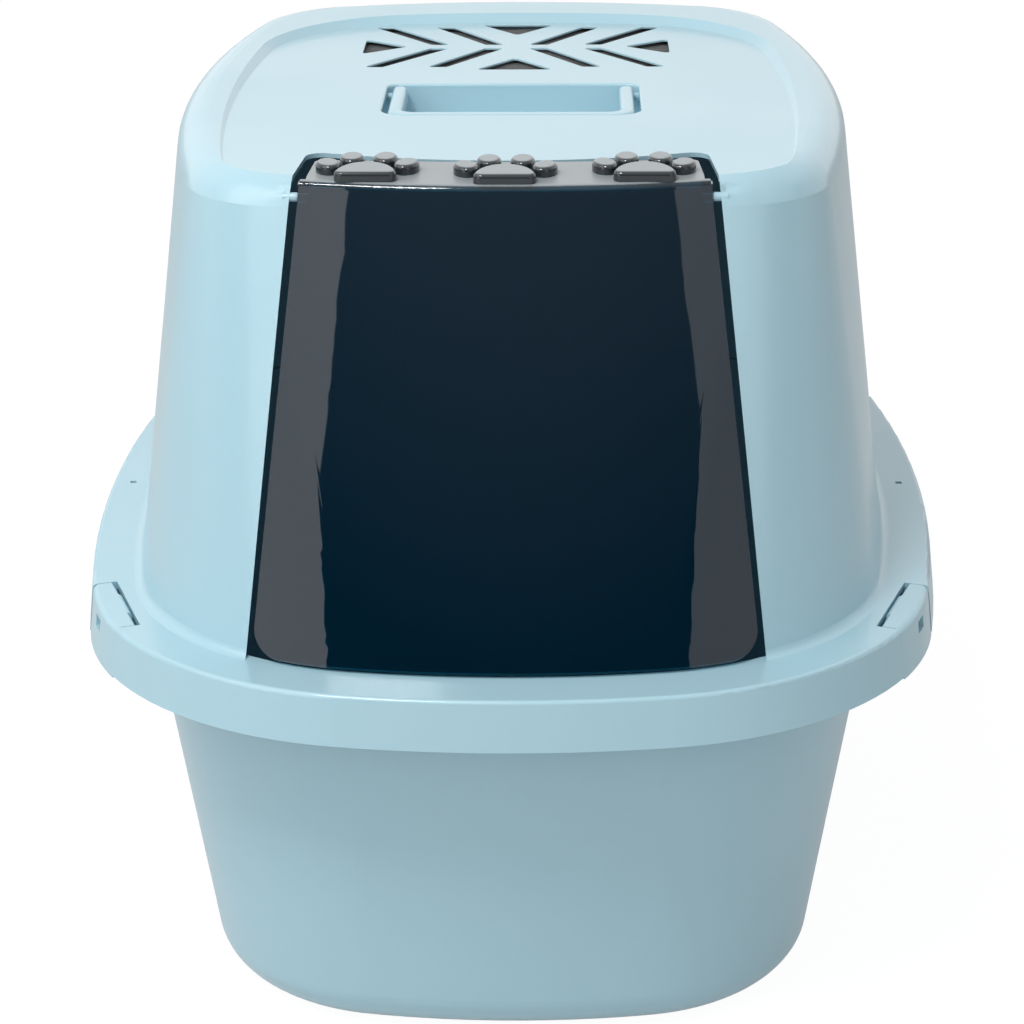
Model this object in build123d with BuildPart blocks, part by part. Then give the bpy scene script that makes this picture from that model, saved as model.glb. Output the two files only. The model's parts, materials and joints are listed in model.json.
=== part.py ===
from build123d import *
from math import asin, atan, atan2, cos, degrees, hypot, sin, sqrt
from typing import NamedTuple
import os

# Covered litter box: tub, hood with flange, swinging flap, carry handle, vent filter and clips.
# Millimetres. Z is up, the door faces -Y, and the origin is on the floor under the flange's middle.


class Plan(NamedTuple):
    """A plan outline of eight tangent arcs: two sides, two ends and four corners."""

    half_width: float
    front: float
    rear: float
    side_radius: float
    end_radius: float
    corner_radius: float

    def inset(self, distance):
        """The parallel outline that lies inside this one."""
        return Plan(*(size - distance for size in self))

    def toward(self, other, share):
        """The outline part of the way to another one, as on a straight drafted wall."""
        return Plan(*(a + (b - a) * share for a, b in zip(self, other)))

    def corner_centre(self):
        """Centre of the rear right corner arc, measured from the outline's middle."""
        side_x = self.half_width - self.side_radius
        end_y = (self.front + self.rear) / 2 - self.end_radius
        span = hypot(side_x, end_y)
        to_side = self.side_radius - self.corner_radius
        to_end = self.end_radius - self.corner_radius
        along = (to_side**2 - to_end**2 + span**2) / (2 * span)
        across = sqrt(to_side**2 - along**2)
        toward_x, toward_y = -side_x / span, end_y / span
        x = side_x + toward_x * along - toward_y * across
        y = toward_y * along + toward_x * across
        return x, y

    def draw(self):
        """Draw the outline as a face of the sketch that is being built."""
        middle_y = (self.rear - self.front) / 2
        centre_x, centre_y = self.corner_centre()
        side_angle = atan2(centre_y, centre_x - self.half_width + self.side_radius)
        end_angle = atan2(centre_y - (self.front + self.rear) / 2 + self.end_radius, centre_x)

        def on_corner(angle, flip_x, flip_y):
            x = centre_x + self.corner_radius * cos(angle)
            y = centre_y + self.corner_radius * sin(angle)
            return x * flip_x, middle_y + y * flip_y

        with BuildLine() as outline:
            for flip in (1, -1):
                side_start = on_corner(side_angle, flip, -flip)
                side_end = on_corner(side_angle, flip, flip)
                corner_middle = on_corner((side_angle + end_angle) / 2, flip, flip)
                end_start = on_corner(end_angle, flip, flip)
                end_middle = (0, self.rear) if flip > 0 else (0, -self.front)
                end_finish = on_corner(end_angle, -flip, flip)
                next_middle = on_corner((side_angle + end_angle) / 2, -flip, flip)
                next_side = on_corner(side_angle, -flip, flip)
                ThreePointArc(side_start, (self.half_width * flip, middle_y), side_end)
                ThreePointArc(side_end, corner_middle, end_start)
                ThreePointArc(end_start, end_middle, end_finish)
                ThreePointArc(end_finish, next_middle, next_side)
        make_face(outline.edges())


# Overall sizes
FLANGE_HALF_WIDTH = 200.0
FLANGE_HALF_LENGTH = 259.3
FLANGE_TOP = 189.0
HEIGHT = 390.4

# Plan outline of the flange, which the tub's rim and the foot of the hood follow
FLANGE_PLAN = Plan(FLANGE_HALF_WIDTH, FLANGE_HALF_LENGTH, FLANGE_HALF_LENGTH, 860.0, 430.0, 144.0)

# Hood
HOOD_WALL = 2.4
LEDGE_WIDTH = 22.5
SKIRT_HEIGHT = 22.3
SKIRT_DRAFT = 2.5
RIDGE_ROUND = 2.0
FOOT_FILLET = 4.5
HOOD_TOP_HALF_WIDTH = 155.0
HOOD_TOP_FRONT = 171.8
HOOD_TOP_REAR = 209.6
HOOD_TOP_PLAN = Plan(HOOD_TOP_HALF_WIDTH, HOOD_TOP_FRONT, HOOD_TOP_REAR, 570.0, 415.0, 56.0)
SHOULDER_ROUND = 16.0
TOP_FALL = 4.6

# Sunken panel in the top of the hood
PANEL_DROP = 4.7
PANEL_WALL = 2.0
PANEL_HALF_WIDTH = 136.0
PANEL_REAR = 170.0
PANEL_FRONT = 200.0
PANEL_STEP = 6.0
PANEL_PLAN = Plan(PANEL_HALF_WIDTH, PANEL_FRONT, PANEL_REAR, 900.0, 420.0, 84.0)

# Tub
TUB_WALL = 2.6
TUB_FLOOR = 3.0
TUB_FOOT_HALF_WIDTH = 141.5
TUB_FOOT_HALF_LENGTH = 209.0
TUB_FOOT_PLAN = Plan(TUB_FOOT_HALF_WIDTH, TUB_FOOT_HALF_LENGTH, TUB_FOOT_HALF_LENGTH, 1600.0, 380.0, 86.0)
TUB_BOTTOM_ROUND = 22.0
TUB_MOUTH_INSET = 23.7
TUB_RIM_WALL = 2.4
TUB_LIP_HEIGHT = 10.0
FOOT_RING_WIDTH = 6.0
FOOT_RECESS = 1.2

# Clearances
HOOD_SEAT_GAP = 0.4
RIM_SIDE_GAP = 3.4
RUNNING_FIT = 0.06
PLAY = 0.5

# Door opening and flap
DOOR_FOOT_HALF_WIDTH = 111.3
DOOR_HEAD_HALF_WIDTH = 90.4
NOTCH_REAR_MIDDLE = 130.5
NOTCH_REAR_CORNER = 113.5
NOTCH_TAPER = 3.2
NOTCH_CORNER_ROUND = 7.0
FLAP_WALL = 2.0
FLAP_LEDGE_WALL = 3.0
FLAP_FOOT_GAP = 1.6
FLAP_SIDE_GAP_FOOT = 2.4
FLAP_SIDE_GAP_HEAD = 3.8
LEDGE_HALF_WIDTH = 84.0
LEDGE_TAPER = 1.6
LEDGE_REAR_MIDDLE = 132.8
LEDGE_REAR_CORNER = 128.2
LEDGE_CORNER_ROUND = 4.0
FLAP_BACK_REACH = 10.0
FLAP_CORNER_ROUND = 11.0
FLAP_BEND_ROUND = 2.8
PIVOT_DROP = 7.5
PIVOT_SETBACK = 13.0
PIVOT_PIN_RADIUS = 1.5
PIVOT_BOSS_RADIUS = 2.0
PIVOT_EAR_RADIUS = 3.4
PIVOT_EAR_WIDTH = 5.0
PIVOT_BOSS_REACH = 3.0
PIVOT_SLIT_GAP = 1.0
PIVOT_SLIT_WIDTH = 1.5
PIVOT_SLIT_RISE = 6.5

# Paw pads on the flap's ledge
PAW_SPACING = 58.8
PAW_HEIGHT = 4.5
PAW_EDGE_ROUND = 2.0
PAW_FRONT_GAP = 2.0
PAW_PAD_WIDTH = 27.0
PAW_PAD_DEPTH = 19.5
TOE_WIDTH = 10.6
TOE_DEPTH = 15.0
INNER_TOE_X = 7.2
INNER_TOE_BACK = 29.0
OUTER_TOE_X = 16.7
OUTER_TOE_BACK = 18.5
OUTER_TOE_TILT = 14.0
PAW_PAD_CORNER = 3.5

# Handle and its well
WELL_HALF_WIDTH = 60.0
WELL_FRONT = 45.0
WELL_REAR = 19.0
WELL_DEPTH = 22.0
WELL_CORNER = 12.0
WELL_REAR_CORNER = 5.5
WELL_EDGE_ROUND = 1.2
WELL_FLOOR_ROUND = 5.0
WELL_WALL = 2.2
HANDLE_GAP = 1.5
HANDLE_SIDE_GAP = 2.6
HANDLE_SINK = 0.4
HANDLE_BAR = 8.0
HANDLE_ARM = 7.0
HANDLE_THICK = 9.0
HANDLE_EDGE_ROUND = 2.4
HANDLE_INNER_ROUND = 6.0
HANDLE_HEEL_ROUND = 3.0
HANDLE_PIN_RADIUS = 2.0
HANDLE_PIN_REACH = 4.2

# Vents and filter
VENT_MIDDLE_Y = 105.0
VENT_SLOT_NEAR = 4.0
VENT_SLOT_FAR = 48.0
VENT_SLOT_WIDTH = 9.5
VENT_INNER_SLOT_X = 6.0
VENT_INNER_SLOT_LEAN = 27.5
VENT_OUTER_SLOT_X = 33.5
VENT_OUTER_SLOT_LEAN = 31.5
VENT_END_X = 77.0
VENT_END_HALF = 17.0
VENT_END_TIP = 55.0
VENT_CAP_Y = 54.0
VENT_CAP_HALF = 19.0
VENT_CAP_TIP = 28.0
VENT_CORNER = 1.6
VENT_EDGE_ROUND = 0.4
VENT_WALL = 1.0
FILTER_HALF_WIDTH = 82.0
FILTER_HALF_LENGTH = 60.0
FILTER_THICK = 8.0
FILTER_TOP_GAP = 1.0
FILTER_CORNER = 5.0
POCKET_GAP = 0.8
POCKET_WALL = 2.0
FRAME_WALL = 2.4
FRAME_RIM = 6.0
FRAME_BAR = 3.0
FRAME_COLUMNS = 6
FRAME_ROWS = 4
FRAME_PIN_RADIUS = 1.1
FRAME_PIN_BACK = 3.0
FRAME_TAB_WIDTH = 24.0
FRAME_TAB_REACH = 8.0
FRAME_PIN_REACH = 2.2

# Clips
CLIP_HALF_LENGTH = 26.0
CLIP_MIDDLE_Y = 155.0
CLIP_PLATE_WIDTH = 12.0
CLIP_DROP = 23.6
CLIP_WALL = 2.4
CLIP_SETBACK = 0.3
CLIP_PIN_RADIUS = 1.5
CLIP_BARREL_RADIUS = 2.4
CLIP_KNUCKLE_HALF_LENGTH = 11.0
CLIP_SLOT_GAP = 0.4
CLIP_EAR_WIDTH = 4.0
CLIP_WINDOW_HALF_LENGTH = 4.5
CLIP_WINDOW_TOP = 5.0
CLIP_WINDOW_BOTTOM = 10.5
CLIP_RIDGE_ROUND = 3.2
CLIP_AXIS_X = 1.2
CLIP_STUB_REACH = 3.0
CLIP_EAR_RADIUS = 3.2
CATCH_HALF_LENGTH = 6.0
CATCH_TOP = 7.0
CATCH_FACE_BOTTOM = 11.5
CATCH_BOTTOM = 14.0
CATCH_GAP = 0.5
CATCH_EASE = 0.8
CATCH_ROOT = 20.0
NOTCH_BACK = 4.0
TRAY_REACH = 4.5
NOTCH_SIDE_GAP = 2.5

# Slits in the flange, each over a small snap nub
SLIT_INSET = 10.0
SLIT_WIDTH = 3.0
SLIT_LENGTH = 3.0
NUB_GAP = 0.4
NUB_BOTTOM = 18.5
NUB_TOP = 13.5

# Worked-out places
PANEL_TOP = HEIGHT - PANEL_DROP
HOOD_FOOT_PLAN = FLANGE_PLAN.inset(LEDGE_WIDTH)
TUB_TOP = FLANGE_TOP - HOOD_WALL - HOOD_SEAT_GAP
TUB_MOUTH_PLAN = FLANGE_PLAN.inset(TUB_MOUTH_INSET)
RIM_INSET = HOOD_WALL + RIM_SIDE_GAP
TOP_TILT = atan(TOP_FALL / (HOOD_TOP_FRONT + HOOD_TOP_REAR))
DOOR_HEAD = PANEL_TOP - HOOD_WALL
FRONT_LEAN = (HOOD_FOOT_PLAN.front - HOOD_TOP_PLAN.front) / (HEIGHT - FLANGE_TOP)
PIVOT_Z = PANEL_TOP - PIVOT_DROP
PIVOT_Y = -HOOD_TOP_FRONT - FRONT_LEAN * (HEIGHT - PIVOT_Z) + PIVOT_SETBACK
HANDLE_AXIS_Z = PANEL_TOP - HANDLE_SINK - HANDLE_THICK / 2
HANDLE_AXIS_Y = WELL_REAR - HANDLE_GAP - HANDLE_THICK / 2
FILTER_TOP = PANEL_TOP - VENT_WALL - FILTER_TOP_GAP
FRAME_TOP = FILTER_TOP - FILTER_THICK
FRAME_AXIS_Z = FRAME_TOP - FRAME_WALL / 2
FRAME_AXIS_Y = VENT_MIDDLE_Y - FILTER_HALF_LENGTH + FRAME_PIN_BACK
CLIP_AXIS_Z = -CLIP_BARREL_RADIUS
CLIP_ARC_X = CLIP_PLATE_WIDTH - FLANGE_PLAN.corner_radius
CLIP_OUTER_RADIUS = FLANGE_PLAN.corner_radius - CLIP_SETBACK
DRAFT_ANGLE = degrees(atan(SKIRT_DRAFT / SKIRT_HEIGHT))
EAR_END = CLIP_HALF_LENGTH + PLAY + CLIP_EAR_WIDTH
BELOW = 1.0


def hood_plan(height):
    """The hood wall's outer outline at a height, on its straight draft."""
    return HOOD_FOOT_PLAN.toward(HOOD_TOP_PLAN, (height - FLANGE_TOP) / (HEIGHT - FLANGE_TOP))


def tub_plan(height):
    """The tub wall's outer outline at a height, on its straight draft."""
    return TUB_FOOT_PLAN.toward(TUB_MOUTH_PLAN, height / TUB_TOP)


def door_half_width(height):
    """Half the width of the door opening, which narrows towards the top."""
    share = (height - FLANGE_TOP) / (DOOR_HEAD - FLANGE_TOP)
    return DOOR_FOOT_HALF_WIDTH + (DOOR_HEAD_HALF_WIDTH - DOOR_FOOT_HALF_WIDTH) * share


def flap_half_width(height):
    """Half the width of the flap's front at a height, inside its side gaps."""
    share = (height - FLANGE_TOP - FLAP_FOOT_GAP) / (HEIGHT + BELOW - FLANGE_TOP - FLAP_FOOT_GAP)
    gap = FLAP_SIDE_GAP_FOOT + (FLAP_SIDE_GAP_HEAD - FLAP_SIDE_GAP_FOOT) * share
    return door_half_width(height) - gap


def drafted(low_plan, low_z, high_plan, high_z):
    """A solid between two outlines, with straight walls."""
    with BuildPart() as solid:
        with BuildSketch(Plane.XY.offset(low_z)):
            low_plan.draw()
        with BuildSketch(Plane.XY.offset(high_z)):
            high_plan.draw()
        loft(ruled=True)
    return solid.part


def slab(plan, low_z, high_z):
    """A solid with the same outline all the way up."""
    with BuildPart() as solid:
        with BuildSketch(Plane.XY.offset(low_z)):
            plan.draw()
        extrude(amount=high_z - low_z)
    return solid.part


def hood_block(inset, foot_z):
    """The solid inside the hood's wall, closed by the falling top and its shoulder round."""
    spare = 6.0
    top = HEIGHT - inset
    with BuildPart() as block:
        add(drafted(hood_plan(foot_z).inset(inset), foot_z, hood_plan(top + spare).inset(inset), top + spare))
        fall = Plane(
            origin=(0, HOOD_TOP_REAR, top), x_dir=(1, 0, 0), z_dir=(0, -sin(TOP_TILT), cos(TOP_TILT))
        )
        split(bisect_by=fall, keep=Keep.BOTTOM)
        fillet(block.faces().sort_by(Axis.Z)[-1].edges(), SHOULDER_ROUND - inset)
    return block.part


def box(x_low, x_high, y_low, y_high, z_low, z_high):
    """A box given by its limits."""
    with BuildPart() as solid:
        with Locations(((x_low + x_high) / 2, (y_low + y_high) / 2, (z_low + z_high) / 2)):
            Box(x_high - x_low, y_high - y_low, z_high - z_low)
    return solid.part


def rod(start, end, radius):
    """A round rod between two points."""
    axis = Vector(*end) - Vector(*start)
    with BuildPart() as solid:
        with BuildSketch(Plane(origin=start, z_dir=axis)):
            Circle(radius)
        extrude(amount=axis.length)
    return solid.part


def rounded_box(half_x, y_low, y_high, z_low, z_high, front_corner, rear_corner):
    """A box across the middle plane with rounded upright corners."""
    with BuildPart() as solid:
        with BuildSketch(Plane.XY.offset(z_low)) as outline:
            with Locations((0, (y_low + y_high) / 2)):
                Rectangle(2 * half_x, y_high - y_low)
            fillet(outline.vertices().group_by(Axis.Y)[0], front_corner)
            fillet(outline.vertices().group_by(Axis.Y)[-1], rear_corner)
        extrude(amount=z_high - z_low)
    return solid.part


def door_prism(back, foot_z, foot_gap, head_gap, corner):
    """The tapered window of the door, from a little behind the hood's front wall forwards."""
    head_z = HEIGHT + BELOW
    foot_half = door_half_width(foot_z) - foot_gap
    head_half = door_half_width(head_z) - head_gap
    with BuildPart() as prism:
        with BuildSketch(Plane.XZ.offset(back)) as window:
            Polygon((-foot_half, foot_z), (foot_half, foot_z), (head_half, head_z), (-head_half, head_z), align=None)
            if corner > 0:
                fillet(window.vertices().group_by(Axis.Y)[0], corner)
        extrude(amount=FLANGE_HALF_LENGTH - back + BELOW)
    return prism.part


def tongue(half_width, taper, rear_middle, rear_corner, corner, low_z, high_z):
    """A plate under the top of the door with a bowed rear edge, open to the front."""
    front = -HOOD_TOP_FRONT - 2 * SHOULDER_ROUND
    bend = SHOULDER_ROUND - HOOD_TOP_FRONT
    rear_half = half_width - taper
    with BuildPart() as plate:
        with BuildSketch(Plane.XY.offset(low_z)) as outline:
            with BuildLine() as edge:
                Polyline(
                    (-rear_half, -rear_corner), (-half_width, bend), (-half_width, front),
                    (half_width, front), (half_width, bend), (rear_half, -rear_corner),
                )
                ThreePointArc((rear_half, -rear_corner), (0, -rear_middle), (-rear_half, -rear_corner))
            make_face(edge.edges())
            fillet(outline.vertices().group_by(Axis.Y)[-1], corner)
        extrude(amount=high_z - low_z)
    return plate.part


def corner_place(flip_x, flip_y):
    """Where one clip sits: origin on its slot's middle, X outwards and Z up."""
    centre_x, centre_y = FLANGE_PLAN.corner_centre()
    reach = FLANGE_PLAN.corner_radius - CLIP_PLATE_WIDTH
    angle = asin((CLIP_MIDDLE_Y - centre_y) / reach)
    slot = ((centre_x + reach * cos(angle)) * flip_x, (centre_y + reach * sin(angle)) * flip_y, FLANGE_TOP)
    return Plane(origin=slot, x_dir=(cos(angle) * flip_x, sin(angle) * flip_y, 0), z_dir=(0, 0, 1)).location


BOSS_INNER_X = flap_half_width(PIVOT_Z) + PLAY
CLIP_PLACES = {
    "clip_front_left": corner_place(-1, -1),
    "clip_front_right": corner_place(1, -1),
    "clip_rear_left": corner_place(-1, 1),
    "clip_rear_right": corner_place(1, 1),
}

# One catch arm of the tub, which shows in the clip's window
with BuildPart() as catch:
    catch_draft = CATCH_TOP * SKIRT_DRAFT / SKIRT_HEIGHT
    catch_tip = CLIP_ARC_X + CLIP_OUTER_RADIUS - CLIP_WALL - CATCH_GAP + catch_draft
    with BuildSketch(Plane.XZ):
        Polygon(
            (-CATCH_ROOT, -CATCH_TOP),
            (catch_tip, -CATCH_TOP),
            (catch_tip, -CATCH_FACE_BOTTOM),
            (catch_tip - CATCH_EASE, -CATCH_BOTTOM),
            (-CATCH_ROOT, -CATCH_BOTTOM),
            align=None,
        )
    extrude(amount=CATCH_HALF_LENGTH, both=True)

# Notch in the tub's rim for one clip's knuckle and ears, and the tray that closes it from below
rim_notch = box(
    -NOTCH_BACK, 2 * CLIP_PLATE_WIDTH, -EAR_END - NOTCH_SIDE_GAP, EAR_END + NOTCH_SIDE_GAP,
    -SKIRT_HEIGHT, BELOW,
)
rim_tray = box(
    -NOTCH_BACK - TUB_RIM_WALL, TRAY_REACH,
    -EAR_END - NOTCH_SIDE_GAP - TUB_RIM_WALL, EAR_END + NOTCH_SIDE_GAP + TUB_RIM_WALL,
    -CATCH_TOP - TUB_RIM_WALL, TUB_TOP - FLANGE_TOP,
)
rim_tray -= box(
    -NOTCH_BACK, 2 * CLIP_PLATE_WIDTH, -EAR_END - NOTCH_SIDE_GAP, EAR_END + NOTCH_SIDE_GAP,
    -CATCH_TOP, BELOW,
)
rim_limit = slab(FLANGE_PLAN.inset(RIM_INSET), TUB_TOP - SKIRT_HEIGHT, TUB_TOP)

# Tub: drafted walls, a large bottom round, a foot ring, and a rim with a downturned lip
with BuildPart() as tub_hollow:
    add(
        drafted(
            tub_plan(TUB_FLOOR).inset(TUB_WALL), TUB_FLOOR, tub_plan(TUB_TOP + BELOW).inset(TUB_WALL), TUB_TOP + BELOW
        )
    )
    fillet(tub_hollow.edges().group_by(Axis.Z)[0], TUB_BOTTOM_ROUND - TUB_FLOOR)

with BuildPart() as tub:
    add(drafted(tub_plan(0), 0, tub_plan(TUB_TOP), TUB_TOP))
    fillet(tub.edges().group_by(Axis.Z)[0], TUB_BOTTOM_ROUND)
    add(slab(FLANGE_PLAN.inset(RIM_INSET), TUB_TOP - TUB_RIM_WALL, TUB_TOP))
    with BuildSketch(Plane.XY.offset(TUB_TOP)):
        FLANGE_PLAN.inset(RIM_INSET).draw()
        offset(amount=-TUB_RIM_WALL, mode=Mode.SUBTRACT)
    extrude(amount=-TUB_LIP_HEIGHT)
    for place in CLIP_PLACES.values():
        add(place * rim_notch, mode=Mode.SUBTRACT)
        add((place * rim_tray) & rim_limit)
        add(place * catch.part)
    add(tub_hollow.part, mode=Mode.SUBTRACT)
    add(slab(TUB_FOOT_PLAN.inset(TUB_BOTTOM_ROUND + FOOT_RING_WIDTH), 0, FOOT_RECESS), mode=Mode.SUBTRACT)

# Hood: the space inside, less the sunken panel's underside
hood_hollow = hood_block(HOOD_WALL, FLANGE_TOP - HOOD_WALL - BELOW)
hood_hollow -= slab(PANEL_PLAN.inset(-HOOD_WALL), PANEL_TOP - PANEL_WALL, HEIGHT)

# Well for the carry handle
well = rounded_box(
    WELL_HALF_WIDTH, -WELL_FRONT, WELL_REAR, PANEL_TOP - WELL_DEPTH, HEIGHT, WELL_CORNER, WELL_REAR_CORNER
)
well = fillet(well.edges().group_by(Axis.Z)[0], WELL_FLOOR_ROUND)
well_case = rounded_box(
    WELL_HALF_WIDTH + WELL_WALL, -WELL_FRONT - WELL_WALL, WELL_REAR + WELL_WALL,
    PANEL_TOP - WELL_DEPTH - WELL_WALL, PANEL_TOP - PANEL_WALL / 2,
    WELL_CORNER + WELL_WALL, WELL_REAR_CORNER + WELL_WALL,
)

# Pocket for the filter, with a gap at the rear for the frame's tab
pocket = box(
    -FILTER_HALF_WIDTH - POCKET_GAP, FILTER_HALF_WIDTH + POCKET_GAP,
    VENT_MIDDLE_Y - FILTER_HALF_LENGTH - POCKET_GAP, VENT_MIDDLE_Y + FILTER_HALF_LENGTH + POCKET_GAP,
    FRAME_TOP - FRAME_WALL - BELOW, PANEL_TOP - VENT_WALL,
)
pocket_case = box(
    -FILTER_HALF_WIDTH - POCKET_GAP - POCKET_WALL, FILTER_HALF_WIDTH + POCKET_GAP + POCKET_WALL,
    VENT_MIDDLE_Y - FILTER_HALF_LENGTH - POCKET_GAP - POCKET_WALL,
    VENT_MIDDLE_Y + FILTER_HALF_LENGTH + POCKET_GAP + POCKET_WALL,
    FRAME_TOP - FRAME_WALL, PANEL_TOP - PANEL_WALL / 2,
)
tab_gap = box(
    -FRAME_TAB_WIDTH / 2 - POCKET_GAP, FRAME_TAB_WIDTH / 2 + POCKET_GAP,
    VENT_MIDDLE_Y, VENT_MIDDLE_Y + FILTER_HALF_LENGTH + 2 * POCKET_WALL + POCKET_GAP,
    FRAME_TOP - FRAME_WALL - BELOW, FRAME_TOP + POCKET_GAP,
)

# Vent pattern: slanted slots in four quarters, with a triangle at each end and each side
with BuildPart() as vents:
    with BuildSketch(Plane(origin=(0, VENT_MIDDLE_Y, PANEL_TOP - PANEL_WALL - BELOW))) as pattern:
        for near_x, lean in (
            (VENT_INNER_SLOT_X, VENT_INNER_SLOT_LEAN), (VENT_OUTER_SLOT_X, VENT_OUTER_SLOT_LEAN)
        ):
            Polygon(
                (near_x, VENT_SLOT_NEAR),
                (near_x + VENT_SLOT_WIDTH, VENT_SLOT_NEAR),
                (near_x + VENT_SLOT_WIDTH + lean, VENT_SLOT_FAR),
                (near_x + lean, VENT_SLOT_FAR),
                align=None,
            )
        mirror(about=Plane.XZ)
        Polygon(
            (VENT_END_X, -VENT_END_HALF), (VENT_END_X, VENT_END_HALF), (VENT_END_TIP, 0), align=None
        )
        mirror(about=Plane.YZ)
        Polygon(
            (-VENT_CAP_HALF, VENT_CAP_Y), (0, VENT_CAP_TIP), (VENT_CAP_HALF, VENT_CAP_Y), align=None
        )
        Polygon(
            (-VENT_CAP_HALF, -VENT_CAP_Y), (VENT_CAP_HALF, -VENT_CAP_Y), (0, -VENT_CAP_TIP), align=None
        )
        fillet(pattern.vertices(), VENT_CORNER)
    extrude(amount=PANEL_WALL + 2 * BELOW)

# Cut for one clip in the flange and skirt, and the two ears that hold the clip's pins
clip_cut = box(
    CLIP_AXIS_X - CLIP_BARREL_RADIUS - CLIP_SLOT_GAP, 2 * CLIP_PLATE_WIDTH,
    -CLIP_HALF_LENGTH - PLAY, CLIP_HALF_LENGTH + PLAY, -SKIRT_HEIGHT - BELOW, BELOW,
)
clip_ears = rod((CLIP_AXIS_X, -EAR_END, CLIP_AXIS_Z), (CLIP_AXIS_X, EAR_END, CLIP_AXIS_Z), CLIP_EAR_RADIUS)
clip_ears -= box(-CLIP_PLATE_WIDTH, CLIP_PLATE_WIDTH, -EAR_END, EAR_END, -HOOD_WALL / 2, CLIP_EAR_RADIUS)
clip_ears -= clip_cut
clip_bore = rod(
    (CLIP_AXIS_X, -CLIP_HALF_LENGTH - CLIP_STUB_REACH - PLAY, CLIP_AXIS_Z),
    (CLIP_AXIS_X, CLIP_HALF_LENGTH + CLIP_STUB_REACH + PLAY, CLIP_AXIS_Z),
    CLIP_PIN_RADIUS + RUNNING_FIT,
)

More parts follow.
